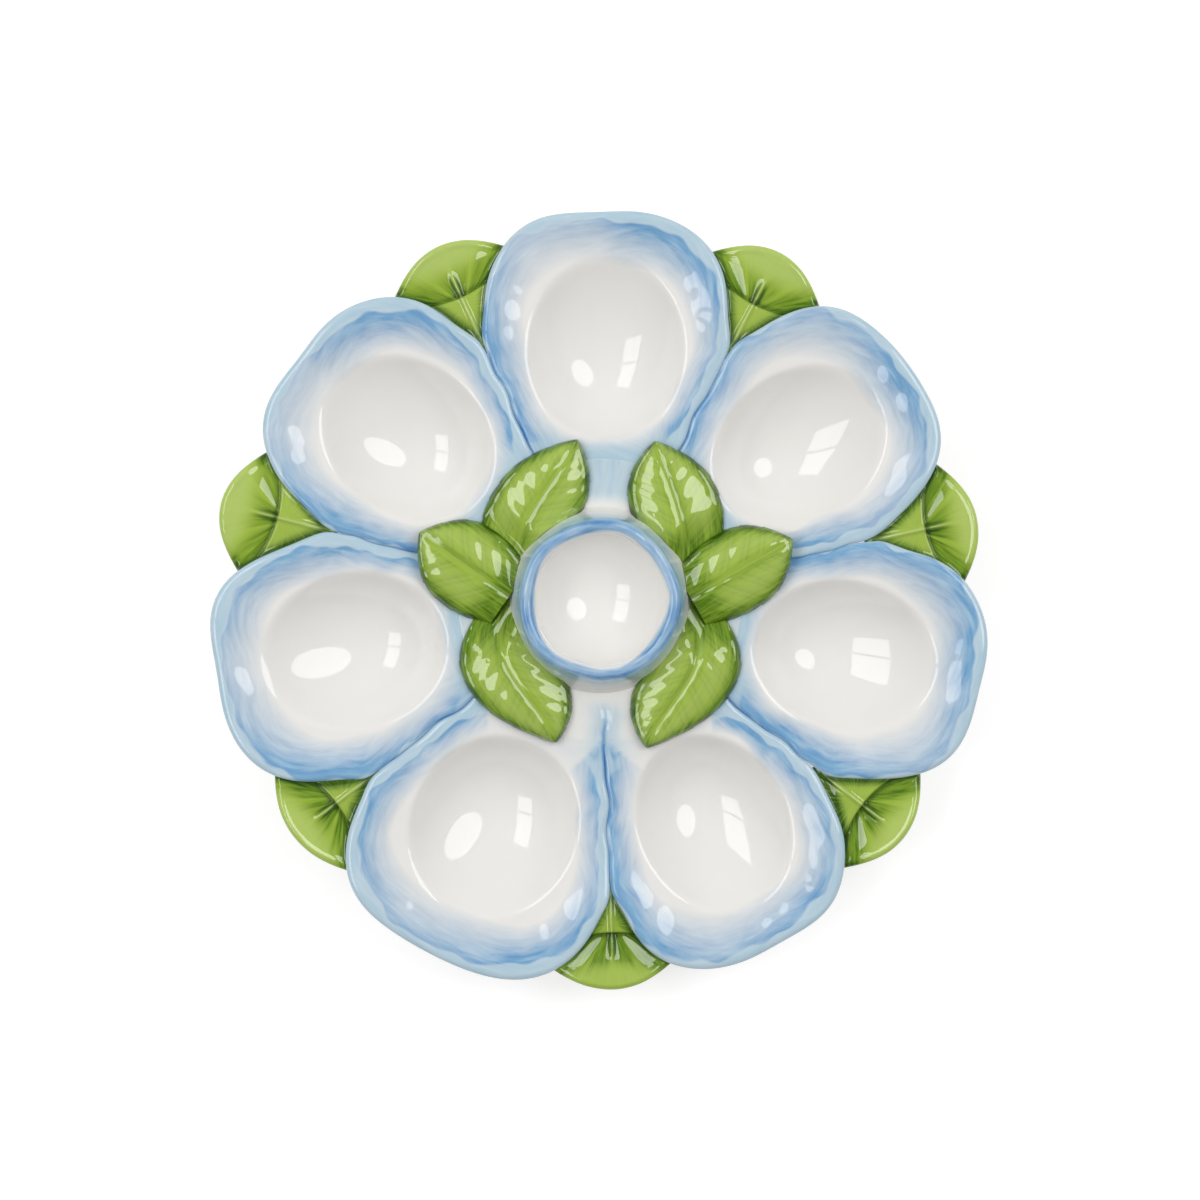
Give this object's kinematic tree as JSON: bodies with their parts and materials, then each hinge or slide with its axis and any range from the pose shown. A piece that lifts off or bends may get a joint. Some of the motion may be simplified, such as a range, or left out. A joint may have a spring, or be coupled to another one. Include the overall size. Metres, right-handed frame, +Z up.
{
  "type": "egg tray",
  "caption": "Flower-shaped glazed earthenware egg tray: oval egg wells set as petals round a raised centre cup, with green leaves between the petals and round the cup, on a foot ring.",
  "frame": {"origin": "middle of the tray, on the table under the foot ring", "axes": "+Z up, +Y from the middle towards the first egg dish (the top of the picture), +X towards the right of the picture"},
  "size_m": [0.2595, 0.2598, 0.039],
  "materials": {
    "blue_glaze": "gloss white glaze brushed with blue at the rims",
    "white_glaze": "gloss white glaze with a pale blue wash",
    "green_glaze": "gloss apple-green glaze, darker in the veins and at the edges",
    "bare_clay": "white glaze over a cream earthenware body, bare where it meets the table"
  },
  "bodies": {
    "root": {"hub_plate": "white_glaze", "foot_ring": "bare_clay", "centre_cup": "blue_glaze", "egg_dish_1": "blue_glaze", "egg_dish_2": "blue_glaze", "egg_dish_3": "blue_glaze", "egg_dish_4": "blue_glaze", "egg_dish_5": "blue_glaze", "egg_dish_6": "blue_glaze", "egg_dish_7": "blue_glaze", "fan_leaf_1": "green_glaze", "fan_leaf_2": "green_glaze", "fan_leaf_3": "green_glaze", "fan_leaf_4": "green_glaze", "fan_leaf_5": "green_glaze", "fan_leaf_6": "green_glaze", "fan_leaf_7": "green_glaze", "sprig_leaf_upper_left": "green_glaze", "sprig_leaf_left": "green_glaze", "sprig_leaf_lower_left": "green_glaze", "sprig_leaf_upper_right": "green_glaze", "sprig_leaf_right": "green_glaze", "sprig_leaf_lower_right": "green_glaze"}
  },
  "joints": []
}
